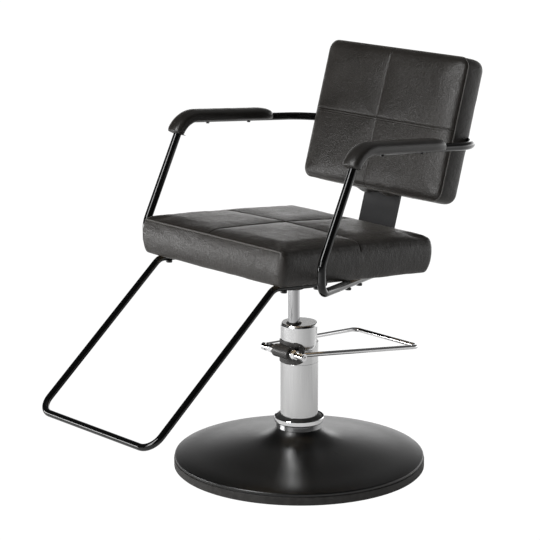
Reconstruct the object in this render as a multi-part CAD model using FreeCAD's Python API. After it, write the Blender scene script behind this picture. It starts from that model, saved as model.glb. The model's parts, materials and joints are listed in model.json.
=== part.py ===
import FreeCAD, Part
import math
import os

# Hydraulic styling chair on a round base, millimetres, +Z up, the chair's front faces -Y.
# The origin is on the floor at the middle of the base, on the axis of the column.
# Everything is symmetric about the plane x = 0. The ram stands in front of the column's axis.

# Driving dimensions: base and column
BASE_R = 300.0
RIM_INNER_R = 286.0
RIM_H = 20.0
RIM_LIP_H = 21.5
COVER_TOP_Z = 94.0
COVER_NECK_R = 54.0
SHEET = 1.8
COLUMN_R = 45.0
COLUMN_INNER_R = 42.4
FLANGE_Z = 12.0
FLANGE_TOP_Z = 22.0
TUBE_TOP_Z = 257.0
SKIRT_Z = 305.0
CAP_TOP_Z = 352.0
CAP_OPENING_HALF_ANGLE = 68.0
RUNNING_FIT = 0.05

# Driving dimensions: ram, cylinder and pump
RAM_Y = -18.0
RAM_R = 13.8
RAM_TOP_Z = 488.0
RAM_TAPER_Z = 446.0
RAM_TOP_R = 12.6
PISTON_Z = 190.0
PISTON_TOP_Z = 212.0
CYLINDER_R = 24.0
CYLINDER_INNER_R = 21.5
CYLINDER_Z = 95.0
CYLINDER_TOP_Z = 330.0
PIVOT_Y = -51.0
PIVOT_Z = 288.0
PIVOT_R = 6.0
HUB_R = 15.5
HUB_HALF = 25.5
SADDLE_HALF_W = 40.0
YOKE_X = 29.5
YOKE_T = 6.0
PLUNGER_Y = 20.0
PLUNGER_R = 6.0
BARREL_TOP_Z = 235.0
PEDAL_WIRE_R = 5.5
PEDAL_REAR = (110.5, 296.0, 258.0)
PEDAL_FRONT = (62.0, -46.0, 292.0)

# Driving dimensions: seat, tilted back about X, with its bottom plane through SEAT_ORIGIN
SEAT_TILT = 5.0
SEAT_ORIGIN = (0.0, RAM_Y, 501.5)
SEAT_HALF_W = 241.0
SEAT_FRONT = -264.0
SEAT_REAR = 209.0
SEAT_H = 86.0
SEAT_BOTTOM_R = 11.0
SEAT_TOP_R = 14.0
SEAT_CORNER_R = 8.0
BOARD_INSET = 12.5
BOARD_T = 12.0
COVER_T = 1.5
PLATE_T = 5.0

# Driving dimensions: back, tilted about X, with its front bottom edge at BACK_ORIGIN
BACK_TILT = 16.3
BACK_ORIGIN = (0.0, 229.5, 644.0)
BACK_HALF_W = 230.0
BACK_H = 340.0
BACK_FRONT = -6.0
BACK_REAR = 55.0
BACK_CORNER_R = 25.0
UPRIGHT_HALF_W = 59.0
UPRIGHT_T = 6.0
UPRIGHT_DEPTH = 50.0
UPRIGHT_TOP = 300.0
UPRIGHT_FOOT = 105.0

# Driving dimensions: arms and footrest
ARM_R = 9.5
ARM_INNER_R = 7.5
ARM_X_REAR = 290.0
ARM_SPLAY = 0.027
ARM_SPLAY_Y = 184.0
ARM_RAIL_Z = 787.0
ARM_POST_Y = -217.0
ARM_KINK_Z = 576.0
ARM_POST_LEAN = 25.5
ARM_REAR_Y = 337.0
ARM_TOP_BEND_R = 55.0
ARM_REAR_BEND_R = 110.0
ARM_LEG_END_X = 150.0
ARM_LEG_HEADING = 26.1
PAD_W = 46.0
PAD_H = 27.0
PAD_TIP_Z = 783.0
PAD_REAR_Y = 170.0
FOOT_R = 8.0
FOOT_INNER_R = 6.4
FOOT_X = 198.0
FOOT_BAR = (-617.0, 219.0)
FOOT_BEND_Y = -262.0
FOOT_END_Y = -109.0

X_AXIS = FreeCAD.Vector(1, 0, 0)
Y_AXIS = FreeCAD.Vector(0, 1, 0)
Z_AXIS = FreeCAD.Vector(0, 0, 1)
SEAT_PLACE = FreeCAD.Placement(FreeCAD.Vector(*SEAT_ORIGIN), FreeCAD.Rotation(X_AXIS, -SEAT_TILT))
BACK_PLACE = FreeCAD.Placement(FreeCAD.Vector(*BACK_ORIGIN), FreeCAD.Rotation(X_AXIS, -BACK_TILT))


def vec(x, y, z):
    return FreeCAD.Vector(x, y, z)


def cyl(r, z0, z1, x=0.0, y=0.0):
    """Upright cylinder from z0 to z1."""
    return Part.makeCylinder(r, z1 - z0, vec(x, y, z0), Z_AXIS)


def ring(r_out, r_in, z0, z1, x=0.0, y=0.0):
    return cyl(r_out, z0, z1, x, y).cut(cyl(r_in, z0 - 1, z1 + 1, x, y))


def x_cyl(r, x0, x1, y, z):
    """Cylinder along X from x0 to x1."""
    return Part.makeCylinder(r, x1 - x0, vec(x0, y, z), X_AXIS)


def box(x0, x1, y0, y1, z0, z1):
    return Part.makeBox(x1 - x0, y1 - y0, z1 - z0, vec(x0, y0, z0))


def turned(points, x=0.0, y=0.0):
    """Solid of revolution about the vertical through (x, y), from (radius, z) points."""
    corners = [vec(x + r, y, z) for r, z in points]
    face = Part.Face(Part.makePolygon(corners + corners[:1]))
    return face.revolve(vec(x, y, 0), Z_AXIS, 360)


def front_wedge(half_angle, reach, z0, z1):
    """Upright prism that holds everything within half_angle degrees of -Y."""
    angle = math.radians(half_angle)
    edge_x, edge_y = reach * math.sin(angle), -reach * math.cos(angle)
    corners = [vec(0, 0, z0), vec(-edge_x, edge_y, z0), vec(-reach, -2 * reach, z0), vec(reach, -2 * reach, z0),
               vec(edge_x, edge_y, z0)]
    return Part.Face(Part.makePolygon(corners + corners[:1])).extrude(vec(0, 0, z1 - z0))


def hexagon(across_flats, height, base, axis):
    """Hexagonal prism on the point base, along axis."""
    r = across_flats / math.sqrt(3)
    corners = [vec(r * math.cos(math.radians(60 * i)), r * math.sin(math.radians(60 * i)), 0) for i in range(6)]
    prism = Part.Face(Part.makePolygon(corners + corners[:1])).extrude(vec(0, 0, height))
    prism.Placement = FreeCAD.Placement(base, FreeCAD.Rotation(Z_AXIS, axis))
    return prism


def both_sides(shape):
    """The shape and its mirror image across x = 0, as one group of solids."""
    return Part.makeCompound([shape, mirrored(shape)])


def mirrored(shape):
    return shape.mirror(vec(0, 0, 0), X_AXIS)


def group(shapes):
    return Part.makeCompound(shapes)


def in_seat(shape):
    """Place a shape drawn in the seat's own axes (x, rearward, up from its bottom)."""
    return shape.transformed(SEAT_PLACE.toMatrix())


def in_back(shape):
    """Place a shape drawn in the back's own axes (x, rearward from its face, up)."""
    return shape.transformed(BACK_PLACE.toMatrix())


def seat_point(x, s, n):
    return SEAT_PLACE.multVec(vec(x, s, n))


def edges_along(shape, axis):
    """The straight edges of a shape that run along an axis."""
    return [e for e in shape.Edges if (e.Vertexes[-1].Point - e.Vertexes[0].Point).cross(axis).Length < 0.001]


def rounded_path(points, radii):
    """Wire of straight runs joined by tangent arcs, one radius for each inner point."""
    edges = []
    start = points[0]
    for i, radius in enumerate(radii, 1):
        before = (points[i - 1] - points[i]).normalize()
        after = (points[i + 1] - points[i]).normalize()
        half = before.getAngle(after) / 2
        tangent = radius / math.tan(half)
        arc_in = points[i] + before * tangent
        arc_out = points[i] + after * tangent
        bisector = (before + after).normalize()
        middle = points[i] + bisector * (radius / math.sin(half) - radius)
        edges.append(Part.LineSegment(start, arc_in).toShape())
        edges.append(Part.Arc(arc_in, middle, arc_out).toShape())
        start = arc_out
    edges.append(Part.LineSegment(start, points[-1]).toShape())
    return Part.Wire(edges)


def disc(r, centre, normal):
    return Part.Face(Part.Wire(Part.makeCircle(r, centre, normal)))


def rod(points, radii, r):
    path = rounded_path(points, radii)
    return path.makePipe(disc(r, points[0], points[1] - points[0]))


def pipe(points, radii, r_out, r_in):
    """Bent tube with a wall, open at both ends."""
    return rod(points, radii, r_out).cut(rod(points, radii, r_in))


def bolt(r, head_r, head_h, head_base, shank, direction):
    """Round-headed bolt: its head starts at head_base and its shank follows, along direction."""
    head = Part.makeCylinder(head_r, head_h, head_base, direction)
    edge = [e for e in head.Edges if abs(e.BoundBox.Center.sub(head_base).Length) < 0.01]
    head = head.makeFillet(head_h * 0.35, edge)
    stem = Part.makeCylinder(r, shank, head_base + direction * head_h, direction)
    return head.fuse(stem)


# Base and column

def base_cover():
    """Spun steel bell: a gentle dome that turns up into a neck at the collar."""
    outside = [(BASE_R - 1.5, RIM_LIP_H), (BASE_R - 1.5, 25.0), (BASE_R - 4, 28.6), (285.0, 31.6),
               (240.0, 39.5), (180.0, 50.0), (120.0, 60.0), (88.0, 67.5), (68.0, 78.0), (COVER_NECK_R, COVER_TOP_Z)]
    dome = Part.BSplineCurve()
    dome.interpolate([vec(r, 0, z) for r, z in outside[2:]])
    inner = Part.BSplineCurve()
    inner.interpolate([vec(r - 0.5, 0, z - SHEET) for r, z in outside[3:-1]] + [vec(COVER_NECK_R - SHEET, 0, 90.5)])
    lower = vec(BASE_R - 1.5 - SHEET, 0, RIM_LIP_H)
    inner_start = inner.StartPoint
    lip = Part.Arc(vec(BASE_R - 1.5, 0, 25.0), vec(BASE_R - 2.4, 0, 27.4), vec(BASE_R - 4, 0, 28.6))
    edges = [
        Part.LineSegment(vec(BASE_R - 1.5, 0, RIM_LIP_H), vec(BASE_R - 1.5, 0, 25.0)).toShape(),
        lip.toShape(),
        dome.toShape(),
        Part.LineSegment(dome.EndPoint, inner.EndPoint).toShape(),
        inner.toShape(),
        Part.LineSegment(inner_start, vec(BASE_R - 1.5 - SHEET, 0, 25.0)).toShape(),
        Part.LineSegment(vec(BASE_R - 1.5 - SHEET, 0, 25.0), lower).toShape(),
        Part.LineSegment(lower, vec(BASE_R - 1.5, 0, RIM_LIP_H)).toShape(),
    ]
    face = Part.Face(Part.Wire(Part.__sortEdges__(edges)))
    return face.revolve(vec(0, 0, 0), Z_AXIS, 360)


def rim_band():
    """Rubber band round the plate; the cover's lip sits on its inner shoulder, over a groove."""
    outline = [(RIM_INNER_R, 0), (BASE_R - 2, 0), (BASE_R, 2), (BASE_R, RIM_H - 1.5), (BASE_R - 1.5, RIM_H),
               (BASE_R - 4, RIM_H), (BASE_R - 4, RIM_LIP_H), (RIM_INNER_R, RIM_LIP_H)]
    return turned(outline)


def base_plate():
    plate = cyl(RIM_INNER_R, 3, FLANGE_Z)
    for x, y in flange_bolt_places():
        plate = plate.cut(cyl(5.1, 4, FLANGE_Z + 1, x, y))
    return plate


def flange_bolt_places():
    return [(66 * math.cos(math.radians(60 * i)), 66 * math.sin(math.radians(60 * i))) for i in range(6)]


def column_flange():
    flange = ring(82, COLUMN_INNER_R + 2.6, FLANGE_Z, FLANGE_TOP_Z)
    for x, y in flange_bolt_places():
        flange = flange.cut(cyl(5.1, FLANGE_Z - 1, FLANGE_TOP_Z + 1, x, y))
    return flange


def flange_bolts():
    bolts = []
    for x, y in flange_bolt_places():
        head = hexagon(17, 6.5, vec(x, y, FLANGE_TOP_Z), Z_AXIS)
        bolts.append(head.fuse(cyl(5, 6, FLANGE_TOP_Z, x, y)))
    return group(bolts)


def base_collar():
    """Stepped chrome ring that hides the joint of column and cover."""
    outline = [(COLUMN_R + 0.1, 94.2), (54.6, 94.2), (55.6, 95.4), (55.6, 106), (56.8, 108.6), (58.6, 109.2),
               (59.6, 110.4), (59.6, 119.4), (58.8, 121), (57.8, 121), (57.2, 119.8), (57.2, 116),
               (COLUMN_R + 0.1, 116)]
    return turned(outline)


def collar_gasket():
    outline = [(COLUMN_R + 0.1, 116), (57.1, 116), (57.1, 118.4), (COLUMN_R + 0.1, 126)]
    return turned(outline)


def column_tube():
    return ring(COLUMN_R, COLUMN_INNER_R, FLANGE_Z, TUBE_TOP_Z - 0.4)


def pump_housing():
    """Ring that carries the pedal's pivot. Its sleeve rises inside the cap and stops short of the cylinder."""
    body = ring(COLUMN_R, COLUMN_INNER_R, TUBE_TOP_Z + 0.4, SKIRT_Z)
    register = ring(COLUMN_R - 1, COLUMN_INNER_R, TUBE_TOP_Z - 0.4, TUBE_TOP_Z + 0.4)
    shoulder = ring(COLUMN_INNER_R + 0.2, 39.0, SKIRT_Z - 4, SKIRT_Z)
    sleeve = ring(COLUMN_INNER_R - 0.2, 39.0, SKIRT_Z, CAP_TOP_Z - 5)
    inner = shoulder.fuse(sleeve).cut(box(-20, 20, -60, RAM_Y - 10, SKIRT_Z - 4.5, CAP_TOP_Z))
    housing = body.fuse(register).fuse(inner).removeSplitter()
    return housing.cut(yoke_slots()).cut(x_cyl(9.0, -60, 60, PIVOT_Y, PIVOT_Z))


def yoke_slots():
    """Windows in the front wall that the yoke's two arms pass through and swing in."""
    half = YOKE_T / 2 + 1
    slot = box(YOKE_X - half, YOKE_X + half, -60, -20, 270, 302)
    return both_sides(slot)


def column_cap():
    """Chrome cap whose skirt is open at the back."""
    outline = [(COLUMN_R - 2.6, SKIRT_Z), (COLUMN_R, SKIRT_Z), (COLUMN_R, CAP_TOP_Z - 6),
               (COLUMN_R - 1.8, CAP_TOP_Z - 1.6), (COLUMN_R - 2.4, CAP_TOP_Z - 0.5), (COLUMN_R - 3.5, CAP_TOP_Z),
               (0, CAP_TOP_Z), (0, CAP_TOP_Z - 5), (COLUMN_R - 2.6, CAP_TOP_Z - 5)]
    cap = turned(outline).cut(cyl(19, CAP_TOP_Z - 6, CAP_TOP_Z + 1, 0, RAM_Y))
    wedge = front_wedge(CAP_OPENING_HALF_ANGLE, 60.0, SKIRT_Z - 1, CAP_TOP_Z - 7)
    wedge.rotate(vec(0, 0, 0), Z_AXIS, 180)
    return cap.cut(wedge)


def guide_bush():
    flange = ring(19, RAM_R + RUNNING_FIT, CAP_TOP_Z - 5, CAP_TOP_Z, 0, RAM_Y)
    body = ring(18, RAM_R + RUNNING_FIT, CYLINDER_TOP_Z, CAP_TOP_Z - 5, 0, RAM_Y)
    return flange.fuse(body).removeSplitter()


def wiper_seal():
    inner = RAM_R + RUNNING_FIT
    outline = [(inner, CAP_TOP_Z), (18.2, CAP_TOP_Z), (17.6, CAP_TOP_Z + 1.6), (inner + 1, CAP_TOP_Z + 3.4),
               (inner, CAP_TOP_Z + 3.4)]
    return turned(outline, 0, RAM_Y)


def pump_cylinder():
    return ring(CYLINDER_R, CYLINDER_INNER_R, CYLINDER_Z, CYLINDER_TOP_Z, 0, RAM_Y)


def valve_block():
    """Block at the foot of the pump that joins the cylinder and the plunger's barrel."""
    block = cyl(COLUMN_INNER_R - 0.2, 60, CYLINDER_Z)
    block = block.cut(cyl(16, 72, CYLINDER_Z + 1, 0, RAM_Y))
    block = block.cut(cyl(PLUNGER_R, 76, CYLINDER_Z + 1, 0, PLUNGER_Y))
    return block


def plunger_barrel():
    return ring(10, PLUNGER_R + RUNNING_FIT, CYLINDER_Z, BARREL_TOP_Z, 0, PLUNGER_Y)


def plunger():
    """Pump plunger with a round head under the yoke's roller bar."""
    top = PIVOT_Z - 5.0 - 0.3
    stem = cyl(PLUNGER_R, 170, top - 2, 0, PLUNGER_Y)
    head = cyl(9.6, top - 5, top, 0, PLUNGER_Y)
    return stem.fuse(head).removeSplitter()


def plunger_spring():
    """Coil spring that lifts the plunger and, through the yoke, the pedal. Each turn is twelve short bars."""
    wire_r = 0.8
    coil_r = 8.3
    turns = 6
    low = BARREL_TOP_Z + wire_r + 0.2
    rise = PIVOT_Z - 5.3 - 5 - 0.2 - wire_r - low
    steps = 12 * turns
    line = []
    for i in range(steps + 1):
        angle = math.radians(30 * i)
        line.append(vec(coil_r * math.cos(angle), PLUNGER_Y + coil_r * math.sin(angle), low + rise * i / steps))
    section = Part.Wire(Part.makeCircle(wire_r, line[0], line[1] - line[0]))
    return Part.makePolygon(line).makePipeShell([section], True, False, 1)


def pivot_saddle():
    """Black moulded saddle: a band on the front of the column and the hub of the pedal's pivot."""
    low, high = TUBE_TOP_Z + 1, SKIRT_Z + 7
    outline = box(-SADDLE_HALF_W, SADDLE_HALF_W, -60, -10, low, high)
    outline = outline.makeFillet(14, [e for e in outline.Edges if abs(e.Length - 50) < 0.01])
    band = ring(COLUMN_R + 2.3, COLUMN_R + 0.05, low, high).common(outline)
    hub = x_cyl(HUB_R, -HUB_HALF, HUB_HALF, PIVOT_Y, PIVOT_Z)
    hub = hub.cut(cyl(COLUMN_R + 1, 240, 330))
    saddle = band.fuse(hub).removeSplitter()
    saddle = saddle.cut(yoke_slots())
    return saddle.cut(x_cyl(9.0, -60, 60, PIVOT_Y, PIVOT_Z))


def pivot_bushes():
    bush = x_cyl(8.95, 8, HUB_HALF, PIVOT_Y, PIVOT_Z).cut(x_cyl(PIVOT_R + RUNNING_FIT, 0, 30, PIVOT_Y, PIVOT_Z))
    return both_sides(bush)


# Pedal

def pivot_shaft():
    shaft = x_cyl(PIVOT_R, -72.5, 72.5, PIVOT_Y, PIVOT_Z)
    socket = x_cyl(3.4, 67, 80, PIVOT_Y, PIVOT_Z)
    return shaft.cut(socket).cut(mirrored(socket))


def pedal_loop():
    """Chrome wire: an eye on each end of the shaft, two side bars and a cross bar."""
    x1, y1, z1 = PEDAL_FRONT
    x2, y2, z2 = PEDAL_REAR
    corners = [vec(x1, y1, z1), vec(x2, y2, z2), vec(-x2, y2, z2), vec(-x1, y1, z1)]
    loop = rod(corners, [16.0, 16.0], PEDAL_WIRE_R)
    for side in (1, -1):
        eye = x_cyl(9.2, min(side * 59.5, side * 70.5), max(side * 59.5, side * 70.5), PIVOT_Y, PIVOT_Z)
        loop = loop.fuse(eye)
    spacers = both_sides(x_cyl(8.05, 40, 59.5, PIVOT_Y, PIVOT_Z))
    return loop.cut(spacers).cut(x_cyl(PIVOT_R + 0.02, -80, 80, PIVOT_Y, PIVOT_Z))


def pump_yoke():
    """Fork keyed on the shaft: two arms round the cylinder and a bar that presses the plunger."""
    half = YOKE_T / 2
    yoke = x_cyl(5.0, -YOKE_X, YOKE_X, PLUNGER_Y, PIVOT_Z)
    for side in (1, -1):
        x0 = side * YOKE_X - half
        x1 = side * YOKE_X + half
        yoke = yoke.fuse(box(x0, x1, PIVOT_Y, PLUNGER_Y, PIVOT_Z - 5, PIVOT_Z + 5))
        yoke = yoke.fuse(x_cyl(10.0, x0, x1, PIVOT_Y, PIVOT_Z))
        yoke = yoke.fuse(x_cyl(5.0, x0, x1, PLUNGER_Y, PIVOT_Z))
    return yoke.removeSplitter().cut(x_cyl(PIVOT_R + 0.02, -50, 50, PIVOT_Y, PIVOT_Z))


def pivot_washers():
    washer = x_cyl(11.0, 33.0, 35.0, PIVOT_Y, PIVOT_Z).cut(x_cyl(PIVOT_R + 0.05, 30, 40, PIVOT_Y, PIVOT_Z))
    return both_sides(washer)


def pivot_nuts():
    nut = hexagon(20, 9.5, vec(35.0, PIVOT_Y, PIVOT_Z), X_AXIS).cut(
        x_cyl(PIVOT_R + 0.05, 30, 60, PIVOT_Y, PIVOT_Z))
    spacer = x_cyl(8.0, 44.6, 59.4, PIVOT_Y, PIVOT_Z).cut(x_cyl(PIVOT_R + 0.05, 30, 60, PIVOT_Y, PIVOT_Z))
    return group([nut, mirrored(nut), spacer, mirrored(spacer)])


# Piston and ram

def piston_head():
    head = ring(CYLINDER_INNER_R - RUNNING_FIT, 8 + RUNNING_FIT, PISTON_Z, PISTON_TOP_Z, 0, RAM_Y)
    return head.cut(ring(CYLINDER_R, 18.6, 198, 204, 0, RAM_Y))


def piston_seal():
    return ring(CYLINDER_INNER_R - RUNNING_FIT, 18.65, 198.1, 203.9, 0, RAM_Y)


def thrust_washer():
    return ring(18, 8 + RUNNING_FIT, PISTON_TOP_Z, PISTON_TOP_Z + 2.5, 0, RAM_Y)


def ram():
    shoulder = PISTON_TOP_Z + 2.8
    body = cyl(RAM_R, shoulder, RAM_TAPER_Z, 0, RAM_Y)
    taper = Part.makeCone(RAM_R, RAM_TOP_R, RAM_TOP_Z - RAM_TAPER_Z, vec(0, RAM_Y, RAM_TAPER_Z), Z_AXIS)
    spigot = cyl(8, PISTON_Z - 10, shoulder, 0, RAM_Y)
    return body.fuse(taper).fuse(spigot).removeSplitter()


def ram_nut():
    nut = hexagon(24, 9, vec(0, RAM_Y, PISTON_Z - 9.4), Z_AXIS)
    return nut.cut(cyl(8.02, 100, 300, 0, RAM_Y))


# Seat

def seat_socket():
    """Cast socket with a taper bore for the ram and a square flange for the mounting plate."""
    hub = Part.makeCone(23, 33, 70, vec(0, RAM_Y, 437), Z_AXIS)
    above = in_seat(box(-150, 150, -150, 150, -PLATE_T, 100))
    hub = hub.cut(above)
    flange = in_seat(box(-55, 55, -55, 55, -PLATE_T - 9, -PLATE_T))
    ribs = in_seat(box(-50, 50, -4, 4, -45, -PLATE_T - 9))
    web = Part.makeCone(24, 50, 46, vec(0, RAM_Y, 446), Z_AXIS)
    socket = hub.fuse(flange).fuse(ribs.common(web)).removeSplitter()
    bore = cyl(RAM_R + 0.05, 430, RAM_TAPER_Z, 0, RAM_Y)
    taper = Part.makeCone(RAM_R + 0.05, RAM_TOP_R + 0.05, RAM_TOP_Z - RAM_TAPER_Z,
                          vec(0, RAM_Y, RAM_TAPER_Z), Z_AXIS)
    socket = socket.cut(bore).cut(taper)
    return drilled(socket, socket_bolt_places(), 4.1)


def drilled(shape, places, r):
    """Drill holes square to the seat's bottom plane at (x, s) places."""
    for x, s in places:
        shape = shape.cut(in_seat(cyl(r, -60, BOARD_T - 2, x, s)))
    return shape


def socket_bolt_places():
    return [(sx * 43.0, ss * 43.0) for sx in (-1, 1) for ss in (-1, 1)]


def mounting_bolt_places():
    return [(sx * 78.0, ss * 78.0) for sx in (-1, 1) for ss in (-1, 1)]


def upright_bolt_places():
    return [(sx * 36.0, s) for sx in (-1, 1) for s in (128.0, 176.0)]


def arm_bolt_places():
    """Two bolts along each arm's leg."""
    places = []
    for y in (-57.0, 11.0):
        x = arm_leg_x(y)
        places += [(x, (y - RAM_Y) / math.cos(math.radians(SEAT_TILT)))]
    return [(side * x, s) for side in (-1, 1) for x, s in places]


def footrest_bolt_places():
    return [(side * FOOT_X, s) for side in (-1, 1) for s in (-215.0, -114.0)]


def seat_bolts(places, n_head, head_h=5.0, top=BOARD_T - 2.5):
    """Button-head bolts up into the board; each head's seat is at n_head(x, s)."""
    bolts = []
    for x, s in places:
        seat = n_head(x, s)
        bolts.append(in_seat(bolt(4.0, 7.5, head_h, vec(x, s, seat - head_h), top - seat, Z_AXIS)))
    return group(bolts)


def mounting_plate():
    plate = box(-100, 100, -100, 98, -PLATE_T, 0)
    plate = plate.makeFillet(12, [e for e in plate.Edges if abs(e.Length - PLATE_T) < 0.01])
    plate = in_seat(plate)
    return drilled(drilled(plate, mounting_bolt_places(), 4.1), socket_bolt_places(), 4.1)


def board_box():
    return box(-SEAT_HALF_W + BOARD_INSET, SEAT_HALF_W - BOARD_INSET, SEAT_FRONT + BOARD_INSET,
               SEAT_REAR - BOARD_INSET, 0, BOARD_T)


def seat_board():
    board = in_seat(board_box())
    places = (socket_bolt_places() + mounting_bolt_places() + upright_bolt_places() + arm_bolt_places()
              + footrest_bolt_places())
    return drilled(board, places, 4.1)


def seat_block(inset):
    """The whole upholstered seat, or the room inside its cover where inset is the cover's thickness.

    Its top and bottom edges are rounder than its corners, so each pair of sides is rounded on its own."""
    plain = box(inset - SEAT_HALF_W, SEAT_HALF_W - inset, SEAT_FRONT + inset, SEAT_REAR - inset,
                inset, SEAT_H - inset)
    block = plain.makeFillet(SEAT_CORNER_R - inset, edges_along(plain, Z_AXIS))
    for axis in (X_AXIS, Y_AXIS):
        edges = edges_along(plain, axis)
        middle = plain.BoundBox.Center.z
        rounded = plain.makeFillet(SEAT_BOTTOM_R - inset, [e for e in edges if e.BoundBox.Center.z < middle])
        high = [e for e in edges_along(rounded, axis) if e.BoundBox.Center.z > SEAT_H - inset - 0.01]
        block = block.common(rounded.makeFillet(SEAT_TOP_R - inset, high))
    return block


def seat_foam():
    return in_seat(seat_block(COVER_T).cut(board_box()))


def seat_cover():
    """Sewn cover, wrapped over the foam and under the board's edge."""
    return in_seat(seat_block(0).cut(seat_block(COVER_T)).cut(board_box()))


# Back

def upright_path():
    """Centre line of the flat bar: along the seat's bottom, round the bend and up into the back."""
    top = BACK_PLACE.multVec(vec(0, UPRIGHT_DEPTH, UPRIGHT_TOP))
    low = BACK_PLACE.multVec(vec(0, UPRIGHT_DEPTH, 0))
    foot = seat_point(0, UPRIGHT_FOOT, -UPRIGHT_T / 2)
    along = seat_point(0, UPRIGHT_FOOT + 100.0, -UPRIGHT_T / 2) - foot
    rise = top - low
    reach = ((low.y - foot.y) * rise.z - (low.z - foot.z) * rise.y) / (along.y * rise.z - along.z * rise.y)
    return rounded_path([foot, foot + along * reach, top], [16.0])


def back_upright():
    """Flat steel bar that joins the seat to the back."""
    corners = [seat_point(-UPRIGHT_HALF_W, UPRIGHT_FOOT, -UPRIGHT_T),
               seat_point(UPRIGHT_HALF_W, UPRIGHT_FOOT, -UPRIGHT_T),
               seat_point(UPRIGHT_HALF_W, UPRIGHT_FOOT, 0), seat_point(-UPRIGHT_HALF_W, UPRIGHT_FOOT, 0)]
    bar = upright_path().makePipe(Part.Face(Part.makePolygon(corners + corners[:1])))
    bar = drilled(bar, upright_bolt_places(), 4.1)
    return bar.cut(group(back_bolt_cutters(4.1))).cut(group(rail_bolt_cutters(4.1)))


def back_bolt_places():
    return [(sx * 36.0, z) for sx in (-1, 1) for z in (60.0, 250.0)]


def back_cylinder(r, x, z, y0, y1):
    """Cylinder square to the back, from depth y0 to depth y1."""
    return in_back(Part.makeCylinder(r, y1 - y0, vec(x, y0, z), Y_AXIS))


def back_bolt_cutters(r):
    return [back_cylinder(r, x, z, 38, BACK_REAR - 2) for x, z in back_bolt_places()]


def rail_bolt_height():
    """Height in the back's axes at which the rear rail crosses behind it."""
    place = BACK_PLACE.inverse().multVec(vec(0, ARM_REAR_Y, rail_z(ARM_REAR_Y)))
    return place.z, place.y


def rail_bolt_cutters(r):
    height, depth = rail_bolt_height()
    return [back_cylinder(r, x, height, 38, depth + ARM_R + 3) for x in (-40.0, 40.0)]


def back_board_box():
    front = UPRIGHT_DEPTH - UPRIGHT_T / 2 - BOARD_T
    return box(-BACK_HALF_W + 14, BACK_HALF_W - 14, front, front + BOARD_T, 14, BACK_H - 14)


def back_board():
    board = in_back(back_board_box())
    return board.cut(group(back_bolt_cutters(4.1))).cut(group(rail_bolt_cutters(4.1)))


def back_bolts():
    """Countersunk screws that fix the flat bar to the back's board."""
    bolts = []
    for x, z in back_bolt_places():
        bolts.append(back_cylinder(4.0, x, z, 39, UPRIGHT_DEPTH + UPRIGHT_T / 2 - 0.5))
    return group(bolts)


def back_block(inset):
    """The whole upholstered back, or the room inside its cover, pressed in where the rear rail passes."""
    depth = BACK_REAR - BACK_FRONT - 2 * inset
    block = box(inset - BACK_HALF_W, BACK_HALF_W - inset, BACK_FRONT + inset, BACK_REAR - inset,
                inset, BACK_H - inset)
    block = block.makeFillet(BACK_CORNER_R - inset, [e for e in block.Edges if abs(e.Length - depth) < 0.01])
    front = [e for e in block.Edges if e.BoundBox.YMax < BACK_FRONT + inset + 0.01]
    block = block.makeFillet(12 - inset, front)
    rear = [e for e in block.Edges if e.BoundBox.YMin > BACK_REAR - inset - 0.01]
    block = in_back(block.makeFillet(10 - inset, rear))
    return block.cut(both_sides(rear_bend(ARM_R + 0.1 + inset)))


def upright_pocket():
    """Room inside the back for the upper end of the flat bar."""
    return in_back(box(-UPRIGHT_HALF_W, UPRIGHT_HALF_W, UPRIGHT_DEPTH - UPRIGHT_T / 2, BACK_REAR - COVER_T,
                       -1, UPRIGHT_TOP))


def back_foam():
    foam = back_block(COVER_T).cut(in_back(back_board_box())).cut(upright_pocket())
    return foam.cut(group(rail_bolt_cutters(4.1)))


def back_cover():
    """Sewn cover, closed all round but for the bar's slot and the rear rail's bolts."""
    cover = back_block(0).cut(back_block(COVER_T)).cut(upright_pocket())
    return cover.cut(group(rail_bolt_cutters(4.1)))


# Arms

def rail_x(y):
    return ARM_X_REAR + (ARM_SPLAY_Y - y) * ARM_SPLAY


def rail_z(y):
    return ARM_RAIL_Z + (ARM_SPLAY_Y - y) * math.tan(math.radians(SEAT_TILT))


def arm_leg_x(y):
    return rail_x(ARM_POST_Y) - (y - ARM_POST_Y) * math.tan(math.radians(ARM_LEG_HEADING))


def arm_leg_n(y):
    """Height of the leg's centre line above the seat's bottom plane: it drops slowly inward."""
    return -6.5 - (y - ARM_POST_Y) * 0.019


def arm_leg_point(y):
    s = (y - RAM_Y) / math.cos(math.radians(SEAT_TILT))
    return seat_point(arm_leg_x(y), s, arm_leg_n(y))


def arm_leg_end_y():
    return ARM_POST_Y + (rail_x(ARM_POST_Y) - ARM_LEG_END_X) / math.tan(math.radians(ARM_LEG_HEADING))


def arm_top_corner():
    """Where the leaning post meets the rail."""
    lean = math.tan(math.radians(ARM_POST_LEAN))
    slope = math.tan(math.radians(SEAT_TILT))
    rise = (rail_z(ARM_POST_Y) - ARM_KINK_Z) / (1 + lean * slope)
    y = ARM_POST_Y + rise * lean
    return vec(rail_x(y), y, rail_z(y))


def rear_bend(r):
    """The arm's last bend, on the sitter's left, as a rod of radius r."""
    corner = vec(rail_x(ARM_REAR_Y), ARM_REAR_Y, rail_z(ARM_REAR_Y))
    start = vec(rail_x(ARM_SPLAY_Y), ARM_SPLAY_Y, rail_z(ARM_SPLAY_Y))
    return rod([start, corner, vec(100, ARM_REAR_Y, corner.z)], [ARM_REAR_BEND_R], r)


def arm_points():
    """Centre line of the sitter's left arm: leg under the seat, post, rail and half the rear rail."""
    foot = arm_leg_point(ARM_POST_Y)
    return [
        arm_leg_point(arm_leg_end_y()),
        foot,
        vec(foot.x, foot.y, ARM_KINK_Z),
        arm_top_corner(),
        vec(rail_x(ARM_REAR_Y), ARM_REAR_Y, rail_z(ARM_REAR_Y)),
        vec(0.2, ARM_REAR_Y, rail_z(ARM_REAR_Y)),
    ]


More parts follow.
